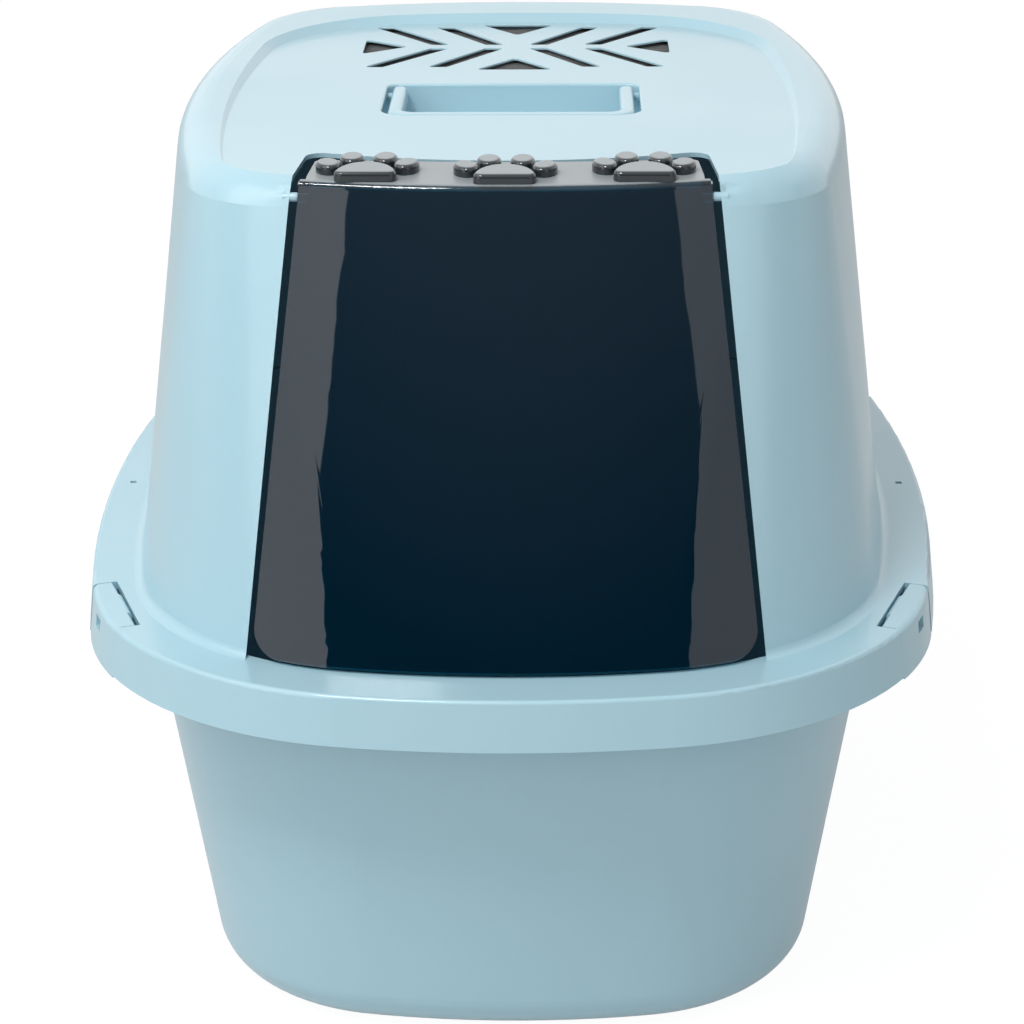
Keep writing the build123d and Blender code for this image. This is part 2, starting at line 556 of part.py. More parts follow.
# Hood: flange with a skirt, leaning walls, sunken panel, door, well, vents and filter pocket
with BuildPart() as hood:
    add(drafted(FLANGE_PLAN.inset(-SKIRT_DRAFT), FLANGE_TOP - SKIRT_HEIGHT, FLANGE_PLAN, FLANGE_TOP))
    fillet(hood.edges().group_by(Axis.Z)[-1], RIDGE_ROUND)
    add(hood_block(0, FLANGE_TOP - HOOD_WALL))
    foot_edges = hood.edges().filter_by_position(Axis.Z, FLANGE_TOP - 0.01, FLANGE_TOP + 0.01)
    foot_edges = foot_edges.filter_by_position(
        Axis.X, -FLANGE_HALF_WIDTH + LEDGE_WIDTH / 2, FLANGE_HALF_WIDTH - LEDGE_WIDTH / 2
    )
    foot_edges = foot_edges.filter_by_position(
        Axis.Y, -FLANGE_HALF_LENGTH + LEDGE_WIDTH / 2, FLANGE_HALF_LENGTH - LEDGE_WIDTH / 2
    )
    fillet(foot_edges, FOOT_FILLET)
    add(
        drafted(
            FLANGE_PLAN.inset(HOOD_WALL - SKIRT_DRAFT), FLANGE_TOP - SKIRT_HEIGHT - BELOW,
            FLANGE_PLAN.inset(HOOD_WALL), FLANGE_TOP - HOOD_WALL,
        ),
        mode=Mode.SUBTRACT,
    )
    add(hood_hollow, mode=Mode.SUBTRACT)
    add(drafted(PANEL_PLAN.inset(PANEL_STEP), PANEL_TOP, PANEL_PLAN, HEIGHT), mode=Mode.SUBTRACT)
    add(door_prism(HOOD_TOP_FRONT - SHOULDER_ROUND, FLANGE_TOP, 0, 0, 0), mode=Mode.SUBTRACT)
    add(
        tongue(
            door_half_width(PANEL_TOP), NOTCH_TAPER, NOTCH_REAR_MIDDLE, NOTCH_REAR_CORNER, NOTCH_CORNER_ROUND,
            PANEL_TOP - WELL_DEPTH, HEIGHT,
        ),
        mode=Mode.SUBTRACT,
    )
    add(well_case)
    add(well, mode=Mode.SUBTRACT)
    well_mouth = hood.edges().filter_by_position(Axis.Z, PANEL_TOP - 0.01, PANEL_TOP + 0.01)
    well_mouth = well_mouth.filter_by_position(Axis.X, -WELL_HALF_WIDTH - 0.01, WELL_HALF_WIDTH + 0.01)
    fillet(well_mouth.filter_by_position(Axis.Y, -WELL_FRONT - 0.01, WELL_REAR + 0.01), WELL_EDGE_ROUND)
    add(pocket, mode=Mode.SUBTRACT)
    add(pocket_case - pocket - tab_gap)
    add(vents.part, mode=Mode.SUBTRACT)
    vent_mouths = hood.edges().filter_by_position(Axis.Z, PANEL_TOP - 0.01, PANEL_TOP + 0.01)
    vent_mouths = vent_mouths.filter_by_position(Axis.X, -VENT_END_X - 0.01, VENT_END_X + 0.01)
    vent_rear = VENT_MIDDLE_Y + VENT_CAP_Y + 0.01
    fillet(vent_mouths.filter_by_position(Axis.Y, VENT_MIDDLE_Y - VENT_CAP_Y - 0.01, vent_rear), VENT_EDGE_ROUND)
    for place in CLIP_PLACES.values():
        add(place * clip_cut, mode=Mode.SUBTRACT)
        add(place * clip_ears)
        add(place * clip_bore, mode=Mode.SUBTRACT)
    for side in (-1, 1):
        add(
            rod(
                (side * BOSS_INNER_X, PIVOT_Y, PIVOT_Z),
                (side * (door_half_width(PIVOT_Z) + PIVOT_BOSS_REACH), PIVOT_Y, PIVOT_Z),
                PIVOT_BOSS_RADIUS,
            )
        )
        add(
            rod(
                (side * (BOSS_INNER_X - PLAY - PIVOT_EAR_WIDTH), PIVOT_Y, PIVOT_Z),
                (side * (BOSS_INNER_X + PLAY), PIVOT_Y, PIVOT_Z),
                PIVOT_PIN_RADIUS,
            )
        )
        slit_x = door_half_width(PIVOT_Z) + PIVOT_SLIT_GAP
        slit_z = PIVOT_Z + PIVOT_BOSS_RADIUS
        with BuildSketch(Plane.XZ.offset(HOOD_TOP_FRONT - SHOULDER_ROUND)):
            Polygon(
                (side * slit_x, slit_z),
                (side * (slit_x + PIVOT_SLIT_WIDTH), slit_z),
                (side * slit_x, slit_z + PIVOT_SLIT_RISE),
                align=None,
            )
        extrude(amount=2 * SHOULDER_ROUND, mode=Mode.SUBTRACT)
        add(
            rod(
                (side * (WELL_HALF_WIDTH - HANDLE_GAP), HANDLE_AXIS_Y, HANDLE_AXIS_Z),
                (side * (WELL_HALF_WIDTH + WELL_WALL + BELOW), HANDLE_AXIS_Y, HANDLE_AXIS_Z),
                HANDLE_PIN_RADIUS + RUNNING_FIT,
            ),
            mode=Mode.SUBTRACT,
        )
        add(
            rod(
                (side * FILTER_HALF_WIDTH, FRAME_AXIS_Y, FRAME_AXIS_Z),
                (side * (FILTER_HALF_WIDTH + POCKET_GAP + POCKET_WALL + BELOW), FRAME_AXIS_Y, FRAME_AXIS_Z),
                FRAME_PIN_RADIUS + RUNNING_FIT,
            ),
            mode=Mode.SUBTRACT,
        )
        nub_x = side * (FLANGE_HALF_WIDTH - SLIT_INSET)
        add(
            box(
                nub_x - SLIT_WIDTH / 2, nub_x + SLIT_WIDTH / 2, -SLIT_LENGTH / 2, SLIT_LENGTH / 2,
                FLANGE_TOP - HOOD_WALL - BELOW, FLANGE_TOP + BELOW,
            ),
            mode=Mode.SUBTRACT,
        )
        nub_inner_x = FLANGE_HALF_WIDTH - RIM_INSET + NUB_GAP
        nub_ends = sorted((side * nub_inner_x, side * (FLANGE_HALF_WIDTH + SKIRT_DRAFT / 2)))
        add(box(*nub_ends, -SLIT_LENGTH / 2, SLIT_LENGTH / 2, FLANGE_TOP - NUB_BOTTOM, FLANGE_TOP - NUB_TOP))

# Flap: an even-walled shell that follows the hood's front, bent over into a ledge at the top
flap_shell = drafted(hood_plan(FLANGE_TOP), FLANGE_TOP, hood_plan(PANEL_TOP), PANEL_TOP)
flap_shell -= drafted(
    hood_plan(FLANGE_TOP - BELOW).inset(FLAP_WALL), FLANGE_TOP - BELOW,
    hood_plan(PANEL_TOP - FLAP_LEDGE_WALL).inset(FLAP_WALL), PANEL_TOP - FLAP_LEDGE_WALL,
)
flap_panel = flap_shell & door_prism(
    HOOD_TOP_FRONT - FLAP_BACK_REACH, FLANGE_TOP + FLAP_FOOT_GAP,
    FLAP_SIDE_GAP_FOOT, FLAP_SIDE_GAP_HEAD, FLAP_CORNER_ROUND,
)
flap_ledge = flap_shell & tongue(
    LEDGE_HALF_WIDTH, LEDGE_TAPER, LEDGE_REAR_MIDDLE, LEDGE_REAR_CORNER, LEDGE_CORNER_ROUND,
    PANEL_TOP - FLAP_LEDGE_WALL, HEIGHT,
)

# One paw: a broad pad with four toes, each with a rounded top edge
with BuildPart() as paw:
    with BuildSketch() as paw_plan:
        Ellipse(PAW_PAD_WIDTH / 2, PAW_PAD_DEPTH)
        with Locations((0, PAW_PAD_DEPTH / 2)):
            Rectangle(PAW_PAD_WIDTH, PAW_PAD_DEPTH, mode=Mode.INTERSECT)
        fillet(paw_plan.vertices().group_by(Axis.Y)[0], PAW_PAD_CORNER)
        for side in (-1, 1):
            with Locations((side * INNER_TOE_X, INNER_TOE_BACK)):
                Ellipse(TOE_WIDTH / 2, TOE_DEPTH / 2)
            with Locations((side * OUTER_TOE_X, OUTER_TOE_BACK)):
                Ellipse(TOE_WIDTH / 2, TOE_DEPTH / 2, rotation=-side * OUTER_TOE_TILT)
    extrude(amount=PAW_HEIGHT + FLAP_LEDGE_WALL / 2)
    fillet(paw.edges().group_by(Axis.Z)[-1], PAW_EDGE_ROUND)

with BuildPart() as flap:
    add(flap_panel)
    add(flap_ledge)
    bend = flap.edges().filter_by_position(Axis.Z, PANEL_TOP - 0.01, PANEL_TOP + 0.01).sort_by(Axis.Y)[0]
    fillet(bend, FLAP_BEND_ROUND)
    for number in (-1, 0, 1):
        paw_x = number * PAW_SPACING
        bow = HOOD_TOP_PLAN.end_radius - sqrt(HOOD_TOP_PLAN.end_radius**2 - paw_x**2)
        with Locations((paw_x, bow + PAW_FRONT_GAP - hood_plan(PANEL_TOP).front, PANEL_TOP - FLAP_LEDGE_WALL / 2)):
            add(paw.part)
    for side in (-1, 1):
        ear_ends = sorted((side * (BOSS_INNER_X - PLAY), side * (BOSS_INNER_X - PLAY - PIVOT_EAR_WIDTH)))
        add(rod((ear_ends[0], PIVOT_Y, PIVOT_Z), (ear_ends[1], PIVOT_Y, PIVOT_Z), PIVOT_EAR_RADIUS))
        add(
            box(
                *ear_ends, PIVOT_Y - PIVOT_BOSS_RADIUS, PIVOT_Y + PIVOT_EAR_RADIUS,
                PIVOT_Z, PANEL_TOP - FLAP_LEDGE_WALL / 2,
            )
        )
        add(
            rod(
                (ear_ends[0] - BELOW, PIVOT_Y, PIVOT_Z), (ear_ends[1] + BELOW, PIVOT_Y, PIVOT_Z),
                PIVOT_PIN_RADIUS + RUNNING_FIT,
            ),
            mode=Mode.SUBTRACT,
        )

# Carry handle: a U of two arms and a front bar, with a pin at each arm's end
handle_half = WELL_HALF_WIDTH - HANDLE_SIDE_GAP
handle_rear = WELL_REAR - HANDLE_GAP
handle_base = PANEL_TOP - HANDLE_SINK - HANDLE_THICK
handle_form = rounded_box(
    handle_half, HANDLE_GAP - WELL_FRONT, handle_rear, handle_base, handle_base + HANDLE_THICK,
    WELL_CORNER - HANDLE_GAP, HANDLE_HEEL_ROUND,
)
handle_form -= rounded_box(
    handle_half - HANDLE_ARM, HANDLE_GAP + HANDLE_BAR - WELL_FRONT, 2 * handle_rear,
    handle_base, handle_base + HANDLE_THICK, HANDLE_INNER_ROUND, HANDLE_INNER_ROUND,
)
heel_edges = handle_form.edges().filter_by(Axis.Z).filter_by_position(Axis.Y, handle_rear - 0.01, handle_rear + 0.01)
handle_form = fillet(heel_edges, HANDLE_HEEL_ROUND)
with BuildPart() as handle:
    add(handle_form)
    fillet(handle.edges().group_by(Axis.Z)[0] + handle.edges().group_by(Axis.Z)[-1], HANDLE_EDGE_ROUND)
    for side in (-1, 1):
        add(
            rod(
                (side * (handle_half - HANDLE_ARM / 2), HANDLE_AXIS_Y, HANDLE_AXIS_Z),
                (side * (handle_half + HANDLE_PIN_REACH), HANDLE_AXIS_Y, HANDLE_AXIS_Z),
                HANDLE_PIN_RADIUS,
            )
        )

# Filter: a charcoal pad on a hinged lattice frame
with BuildPart() as filter_pad:
    add(
        rounded_box(
            FILTER_HALF_WIDTH, VENT_MIDDLE_Y - FILTER_HALF_LENGTH, VENT_MIDDLE_Y + FILTER_HALF_LENGTH,
            FRAME_TOP, FILTER_TOP, FILTER_CORNER, FILTER_CORNER,
        )
    )

with BuildPart() as filter_frame:
    cell_x = (2 * (FILTER_HALF_WIDTH - FRAME_RIM) - (FRAME_COLUMNS - 1) * FRAME_BAR) / FRAME_COLUMNS
    cell_y = (2 * (FILTER_HALF_LENGTH - FRAME_RIM) - (FRAME_ROWS - 1) * FRAME_BAR) / FRAME_ROWS
    with BuildSketch(Plane.XY.offset(FRAME_TOP - FRAME_WALL)):
        with Locations((0, VENT_MIDDLE_Y)):
            Rectangle(2 * FILTER_HALF_WIDTH, 2 * FILTER_HALF_LENGTH)
            with GridLocations(cell_x + FRAME_BAR, cell_y + FRAME_BAR, FRAME_COLUMNS, FRAME_ROWS):
                Rectangle(cell_x, cell_y, mode=Mode.SUBTRACT)
        with Locations((0, VENT_MIDDLE_Y + FILTER_HALF_LENGTH + (FRAME_TAB_REACH - FRAME_BAR) / 2)):
            Rectangle(FRAME_TAB_WIDTH, FRAME_TAB_REACH + FRAME_BAR)
    extrude(amount=FRAME_WALL)
    add(
        rod(
            (-FILTER_HALF_WIDTH - FRAME_PIN_REACH, FRAME_AXIS_Y, FRAME_AXIS_Z),
            (FILTER_HALF_WIDTH + FRAME_PIN_REACH, FRAME_AXIS_Y, FRAME_AXIS_Z),
            FRAME_PIN_RADIUS,
        )
    )

# One clip: a plate and a tab in one bent wall, a knuckle, two pins and a window for the catch
with BuildPart() as clip_form:
    with BuildSketch():
        with Locations((CLIP_ARC_X, 0)):
            Circle(CLIP_OUTER_RADIUS)
    extrude(amount=-CLIP_DROP, taper=-DRAFT_ANGLE)
    with BuildSketch():
        with Locations((CLIP_AXIS_X + CLIP_PLATE_WIDTH, 0)):
            Rectangle(2 * CLIP_PLATE_WIDTH, 2 * CLIP_HALF_LENGTH)
    extrude(amount=-CLIP_DROP, mode=Mode.INTERSECT)
    fillet(clip_form.edges().group_by(Axis.Z)[-1].sort_by(Axis.X)[-1], CLIP_RIDGE_ROUND)
    with BuildSketch(Plane.XY.offset(-CLIP_WALL)):
        with Locations((CLIP_ARC_X, 0)):
            Circle(CLIP_OUTER_RADIUS - CLIP_WALL * (1 - SKIRT_DRAFT / SKIRT_HEIGHT))
    extrude(amount=-CLIP_DROP, taper=-DRAFT_ANGLE, mode=Mode.SUBTRACT)
    add(
        rod(
            (CLIP_AXIS_X, -CLIP_KNUCKLE_HALF_LENGTH, CLIP_AXIS_Z),
            (CLIP_AXIS_X, CLIP_KNUCKLE_HALF_LENGTH, CLIP_AXIS_Z),
            CLIP_BARREL_RADIUS,
        )
    )
    add(
        rod(
            (CLIP_AXIS_X, -CLIP_HALF_LENGTH - CLIP_STUB_REACH, CLIP_AXIS_Z),
            (CLIP_AXIS_X, CLIP_HALF_LENGTH + CLIP_STUB_REACH, CLIP_AXIS_Z),
            CLIP_PIN_RADIUS,
        )
    )
    add(
        box(
            CLIP_AXIS_X + CLIP_BARREL_RADIUS, 2 * CLIP_PLATE_WIDTH,
            -CLIP_WINDOW_HALF_LENGTH, CLIP_WINDOW_HALF_LENGTH, -CLIP_WINDOW_BOTTOM, -CLIP_WINDOW_TOP,
        ),
        mode=Mode.SUBTRACT,
    )

# Label and write every piece
pieces = {
    "tub": tub.part,
    "hood": hood.part,
    "flap": flap.part,
    "handle": handle.part,
    "filter_pad": filter_pad.part,
    "filter_frame": filter_frame.part,
}
for name, place in CLIP_PLACES.items():
    pieces[name] = place * clip_form.part

os.makedirs("parts", exist_ok=True)
for name, piece in pieces.items():
    piece.label = name
    export_step(piece, f"parts/{name}.step")
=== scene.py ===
"""Covered litter box in a plain studio: finishes for the moulded parts, and the loose filter pad."""

import json
import logging
import math
from dataclasses import dataclass, field
from enum import Enum
from typing import Any

import bmesh
import bpy
from mathutils import Matrix, Quaternion, Vector, noise

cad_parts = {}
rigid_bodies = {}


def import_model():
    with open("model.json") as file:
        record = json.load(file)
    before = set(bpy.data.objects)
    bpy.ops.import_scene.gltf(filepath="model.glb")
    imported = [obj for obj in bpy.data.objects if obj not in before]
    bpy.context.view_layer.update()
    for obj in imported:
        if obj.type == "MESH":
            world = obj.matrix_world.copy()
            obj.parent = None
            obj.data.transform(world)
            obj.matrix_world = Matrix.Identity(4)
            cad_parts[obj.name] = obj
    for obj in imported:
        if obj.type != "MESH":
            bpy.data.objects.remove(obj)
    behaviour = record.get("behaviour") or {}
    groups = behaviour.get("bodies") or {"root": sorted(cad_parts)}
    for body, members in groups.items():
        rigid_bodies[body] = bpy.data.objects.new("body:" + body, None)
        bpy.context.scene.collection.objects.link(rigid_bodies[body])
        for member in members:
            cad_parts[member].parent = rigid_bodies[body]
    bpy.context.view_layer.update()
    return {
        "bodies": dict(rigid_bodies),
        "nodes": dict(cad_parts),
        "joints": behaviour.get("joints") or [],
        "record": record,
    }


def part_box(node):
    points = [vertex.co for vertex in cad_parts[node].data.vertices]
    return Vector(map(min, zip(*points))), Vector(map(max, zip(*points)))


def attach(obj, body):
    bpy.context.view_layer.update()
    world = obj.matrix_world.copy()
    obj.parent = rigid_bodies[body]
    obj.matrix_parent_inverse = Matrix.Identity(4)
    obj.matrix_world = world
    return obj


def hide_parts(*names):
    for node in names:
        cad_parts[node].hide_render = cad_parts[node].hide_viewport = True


LOG = logging.getLogger("litter_box")
MM = 0.001


class Side(Enum):
    """The four corners of the rim where a clip sits."""

    FRONT_LEFT = "clip_front_left"
    FRONT_RIGHT = "clip_front_right"
    REAR_LEFT = "clip_rear_left"
    REAR_RIGHT = "clip_rear_right"


def linear(hex_colour: str) -> tuple[float, float, float, float]:
    """Turn an sRGB hex colour into linear RGBA.

    Args:
        hex_colour: Six hex digits with a leading hash sign.

    Returns:
        The linear red, green, blue and an alpha of one.
    """

    def channel(text: str) -> float:
        """Linear value of one two-digit channel."""
        value = int(text, 16) / 255
        return value / 12.92 if value <= 0.04045 else ((value + 0.055) / 1.055) ** 2.4

    digits = hex_colour.lstrip("#")
    red, green, blue = (channel(digits[i : i + 2]) for i in (0, 2, 4))
    return red, green, blue, 1.0


def add_node(
    tree: bpy.types.NodeTree,
    kind: str,
    inputs: dict[str | int, Any] | None = None,
    **settings: Any,
) -> bpy.types.Node:
    """Add one shader node with its settings, values and links.

    Args:
        tree: The node tree that gets the node.
        kind: The node's type name, without the leading "ShaderNode".
        inputs: Socket name or number to a value, or to an output socket to link.
        **settings: Attributes of the node, such as its operation.

    Returns:
        The new node.
    """
    node = tree.nodes.new("ShaderNode" + kind)
    for name, value in settings.items():
        setattr(node, name, value)
    for socket, value in (inputs or {}).items():
        if isinstance(value, bpy.types.NodeSocket):
            tree.links.new(value, node.inputs[socket])
        else:
            node.inputs[socket].default_value = value
    return node


def per_metre(size_mm: float) -> float:
    """Noise scale, in cells a metre, for a feature of this size in millimetres."""
    return 1000 / size_mm


def new_material(name: str) -> tuple[bpy.types.Material, bpy.types.NodeTree]:
    """Make an empty node material.

    Args:
        name: The material's name.

    Returns:
        The material and its emptied node tree.
    """
    material = bpy.data.materials.new(name)
    material.use_nodes = True
    material.node_tree.nodes.clear()
    return material, material.node_tree


def finish_material(tree: bpy.types.NodeTree, shader: bpy.types.Node) -> None:
    """Link a shader to the tree's surface output.

    Args:
        tree: The material's node tree.
        shader: The last shader node.
    """
    add_node(tree, "OutputMaterial", {"Surface": shader.outputs[0]})


@dataclass(frozen=True)
class MouldedPolypropylene:
    """Injection-moulded polypropylene.

    It is satin and a little waxy, under a thin glossy skin with the mould's faint orange peel.
    """

    name: str = "moulded_polypropylene_pastel_blue"
    colour: str = "#A9CCD8"
    flow_colour: str = "#A3C7D4"
    roughness: float = 0.30
    roughness_spread: float = 0.05
    skin: float = 0.3
    skin_roughness: float = 0.09
    ior: float = 1.49
    flow_mm: float = 90.0
    peel_mm: float = 2.2
    peel_depth_mm: float = 0.006

    def build(self) -> bpy.types.Material:
        """Build the node material.

        Returns:
            The finished material.
        """
        material, tree = new_material(self.name)
        place = add_node(tree, "TexCoord").outputs["Object"]
        flow = add_node(
            tree,
            "TexNoise",
            {"Vector": place, "Scale": per_metre(self.flow_mm), "Detail": 3.0, "Roughness": 0.5},
        )
        colour = add_node(
            tree,
            "Mix",
            {0: flow.outputs["Fac"], 6: linear(self.colour), 7: linear(self.flow_colour)},
            data_type="RGBA",
        )
        gloss = add_node(
            tree,
            "MapRange",
            {
                "Value": flow.outputs["Fac"],
                "From Min": 0.3,
                "From Max": 0.7,
                "To Min": self.roughness - self.roughness_spread / 2,
                "To Max": self.roughness + self.roughness_spread / 2,
            },
        )
        peel = add_node(
            tree,
            "TexNoise",
            {"Vector": place, "Scale": per_metre(self.peel_mm), "Detail": 1.0, "Roughness": 0.4},
        )
        bump = add_node(
            tree,
            "Bump",
            {"Height": peel.outputs["Fac"], "Strength": 0.25, "Distance": self.peel_depth_mm * MM},
        )
        shader = add_node(
            tree,
            "BsdfPrincipled",
            {
                "Base Color": colour.outputs[2],
                "Roughness": gloss.outputs["Result"],
                "IOR": self.ior,
                "Coat Weight": self.skin,
                "Coat Roughness": self.skin_roughness,
                "Normal": bump.outputs["Normal"],
            },
        )
        finish_material(tree, shader)
        return material


@dataclass(frozen=True)
class SmokedStyrene:
    """Moulded smoked styrene: a glassy skin, a painted pale grey sheen on level faces that stands for their
    grazing reflection, and paws of solid charcoal grey.
    """

    name: str = "moulded_smoked_styrene"
    tint: str = "#033C54"
    clearness: float = 0.8
    shade: str = "#8FB0B8"
    # Painted sheen: this pale grey and its roughness go on faces that look up, standing for their grazing
    # reflection
    grain_and_painted_sheen: str = "#8F9699"
    painted_sheen_roughness: float = 0.38
    painted_sheen_starts: float = 0.8
    painted_sheen_full: float = 0.97
    paw: str = "#2B3135"
    paw_roughness: float = 0.08
    paw_foot_mm: float = 385.9
    roughness: float = 0.02
    ior: float = 1.57
    flow_mm: float = 26.0
    flow_stretch: float = 0.12
    flow_depth_mm: float = 0.025

    def build(self) -> bpy.types.Material:
        """Build the node material.

        Returns:
            The finished material.
        """
        material, tree = new_material(self.name)
        place = add_node(tree, "TexCoord").outputs["Object"]
        # The melt runs down the panel, so its faint waves are long upright streaks
        stretched = add_node(tree, "Mapping", {"Vector": place, "Scale": (1.0, 1.0, self.flow_stretch)})
        flow = add_node(
            tree,
            "TexNoise",
            {"Vector": stretched.outputs["Vector"], "Scale": per_metre(self.flow_mm), "Detail": 2.0},
        )
        bump = add_node(
            tree,
            "Bump",
            {"Height": flow.outputs["Fac"], "Strength": 0.3, "Distance": self.flow_depth_mm * MM},
        )
        clear = add_node(
            tree,
            "BsdfPrincipled",
            {
                "Base Color": linear(self.tint),
                "Roughness": self.roughness,
                "IOR": self.ior,
                "Transmission Weight": self.clearness,
                "Normal": bump.outputs["Normal"],
            },
        )
        # Light goes in through the tint and reaches the cabin
        passing = add_node(tree, "BsdfTransparent", {"Color": linear(self.shade)})
        shadow = add_node(tree, "LightPath").outputs["Is Shadow Ray"]
        pane = add_node(tree, "MixShader", {0: shadow, 1: clear.outputs[0], 2: passing.outputs[0]})
        # The paws stand on the ledge, above this height
        height = add_node(tree, "SeparateXYZ", {"Vector": place})
        raised = add_node(
            tree, "Math", {0: height.outputs["Z"], 1: self.paw_foot_mm * MM}, operation="GREATER_THAN"
        )
        paws = add_node(
            tree,
            "BsdfPrincipled",
            {"Base Color": linear(self.paw), "Roughness": self.paw_roughness, "IOR": self.ior},
        )
        body = add_node(tree, "MixShader", {0: raised.outputs[0], 1: pane.outputs[0], 2: paws.outputs[0]})
        # Painted reflection: a pale, dull grey shader for the grazing sheen on faces that look up
        painted_sheen_shader = add_node(
            tree,
            "BsdfPrincipled",
            {"Base Color": linear(self.grain_and_painted_sheen), "Roughness": self.painted_sheen_roughness, "IOR": self.ior},
        )
        # Painted sheen: a pale dull grey where the moulding faces up (the ledge and the tops of the paws),
        # standing for the grazing reflection there
        normal = add_node(tree, "SeparateXYZ", {"Vector": add_node(tree, "TexCoord").outputs["Normal"]})
        level = add_node(
            tree,
            "MapRange",
            {"Value": normal.outputs["Z"], "From Min": self.painted_sheen_starts, "From Max": self.painted_sheen_full},
        )
        mixed = add_node(
            tree, "MixShader", {0: level.outputs["Result"], 1: body.outputs[0], 2: painted_sheen_shader.outputs[0]}
        )
        finish_material(tree, mixed)
        return material


@dataclass(frozen=True)
class CarbonFleece:
    """Needled polyester fleece loaded with active carbon: near black, dull, with grains and stray fibres."""

    name: str = "needled_carbon_fleece"
    fibre: str = "#4A4C4E"
    carbon: str = "#1B1C1D"
    roughness: float = 0.95
    grain_mm: float = 1.6
    fibre_mm: float = 0.7
    depth_mm: float = 0.5

    def build(self) -> bpy.types.Material:
        """Build the node material.

        Returns:
            The finished material.
        """
        material, tree = new_material(self.name)
        place = add_node(tree, "TexCoord").outputs["Object"]
        grain_and_painted_sheen = add_node(tree, "TexVoronoi", {"Vector": place, "Scale": per_metre(self.grain_mm)})
        fibres = add_node(
            tree,
            "TexNoise",
            {"Vector": place, "Scale": per_metre(self.fibre_mm), "Detail": 4.0, "Distortion": 1.5},
        )
        mixed = add_node(
            tree,
            "Math",
            {0: grain_and_painted_sheen.outputs["Distance"], 1: fibres.outputs["Fac"]},
            operation="MULTIPLY",
        )
        colour = add_node(
            tree,
            "Mix",
            {0: mixed.outputs[0], 6: linear(self.carbon), 7: linear(self.fibre)},
            data_type="RGBA",
        )
        bump = add_node(
            tree,
            "Bump",
            {"Height": mixed.outputs[0], "Strength": 0.8, "Distance": self.depth_mm * MM},
        )
        shader = add_node(
            tree,
            "BsdfPrincipled",
            {
                "Base Color": colour.outputs[2],
                "Roughness": self.roughness,
                "Sheen Weight": 0.3,
                "Normal": bump.outputs["Normal"],
            },
        )
        finish_material(tree, shader)
        return material


def dress(frame: dict[str, Any], nodes: tuple[str, ...], material: bpy.types.Material) -> None:
    """Put one material on every slot of some CAD nodes.

    Args:
        nodes: Names of the CAD nodes.
        material: The material that they take.
    """
    for name in nodes:
        for slot in frame["nodes"][name].material_slots:
            slot.material = material
        LOG.info("%s takes %s", name, material.name)


@dataclass
class FilterPad:
    """The loose fleece pad that lies on the filter frame, crowned a little, with soft edges."""

    step_mm: float = 3.0
    crown_mm: float = 0.7
    edge_mm: float = 2.6
    edge_share: float = 0.4
    lumps_mm: float = 0.35
    lump_size_mm: float = 9.0
    low: Vector = field(default_factory=Vector)
    high: Vector = field(default_factory=Vector)

    def build(self, material: bpy.types.Material) -> bpy.types.Object:
        """Make the pad in the place of its CAD solid.

        Args:
            material: The fleece.

        Returns:
            The pad's object.
        """
        self.low, self.high = (Vector(corner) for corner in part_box("filter_pad"))
        mesh = bpy.data.meshes.new("filter_pad_fleece")
        shape = bmesh.new()
        size = self.high - self.low
        columns = max(2, round(size.x / (self.step_mm * MM)))
        rows = max(2, round(size.y / (self.step_mm * MM)))
        sheets = []
        for upper in (True, False):
            grid = [
                [shape.verts.new(self.point(i / columns, j / rows, upper)) for j in range(rows + 1)]
                for i in range(columns + 1)
            ]
            for i in range(columns):
                for j in range(rows):
                    corners = [grid[i][j], grid[i + 1][j], grid[i + 1][j + 1], grid[i][j + 1]]
                    shape.faces.new(corners if upper else corners[::-1])
            sheets.append(grid)
        self.close_sides(shape, sheets[0], sheets[1], columns, rows)
        for face in shape.faces:
            face.smooth = True
        shape.normal_update()
        shape.to_mesh(mesh)
        shape.free()
        pad = bpy.data.objects.new("filter_pad_fleece", mesh)
        bpy.context.scene.collection.objects.link(pad)
        mesh.materials.append(material)
        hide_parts("filter_pad")
        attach(pad, "filter_frame")
        LOG.info("filter_pad_fleece lies on filter_frame")
        return pad

    def point(self, u: float, v: float, upper: bool) -> Vector:
        """Place one point of the upper or lower sheet.

        Args:
            u: Share of the width, from 0 to 1.
            v: Share of the length, from 0 to 1.
            upper: True for the upper sheet.

        Returns:
            The point, in metres.
        """
        size = self.high - self.low
        x = self.low.x + size.x * u
        y = self.low.y + size.y * v
        rim = min(u * size.x, (1 - u) * size.x, v * size.y, (1 - v) * size.y) / (self.edge_mm * MM)
        drop = (1 - math.sqrt(max(0.0, 1 - (1 - min(rim, 1.0)) ** 2))) * size.z * self.edge_share
        if not upper:
            return Vector((x, y, self.low.z + drop))
        crown = self.crown_mm * MM * (1 - math.sin(math.pi * u) * math.sin(math.pi * v))
        lump = noise.noise(Vector((x, y, 0.0)) * per_metre(self.lump_size_mm)) * self.lumps_mm * MM
        return Vector((x, y, self.high.z - self.lumps_mm * MM - drop - crown + lump))

    @staticmethod
    def close_sides(
        shape: bmesh.types.BMesh,
        upper: list[list[bmesh.types.BMVert]],
        lower: list[list[bmesh.types.BMVert]],
        columns: int,
        rows: int,
    ) -> None:
        """Join the rims of the two sheets with faces.

        Args:
            shape: The mesh that is being built.
            upper: Grid of the upper sheet's points.
            lower: Grid of the lower sheet's points.
            columns: Cells across.
            rows: Cells along.
        """
        rim = [(i, 0) for i in range(columns)] + [(columns, j) for j in range(rows)]
        rim += [(i, rows) for i in range(columns, 0, -1)] + [(0, j) for j in range(rows, 0, -1)]
        for (i, j), (k, m) in zip(rim, rim[1:] + rim[:1]):
            shape.faces.new((upper[i][j], lower[i][j], lower[k][m], upper[k][m]))


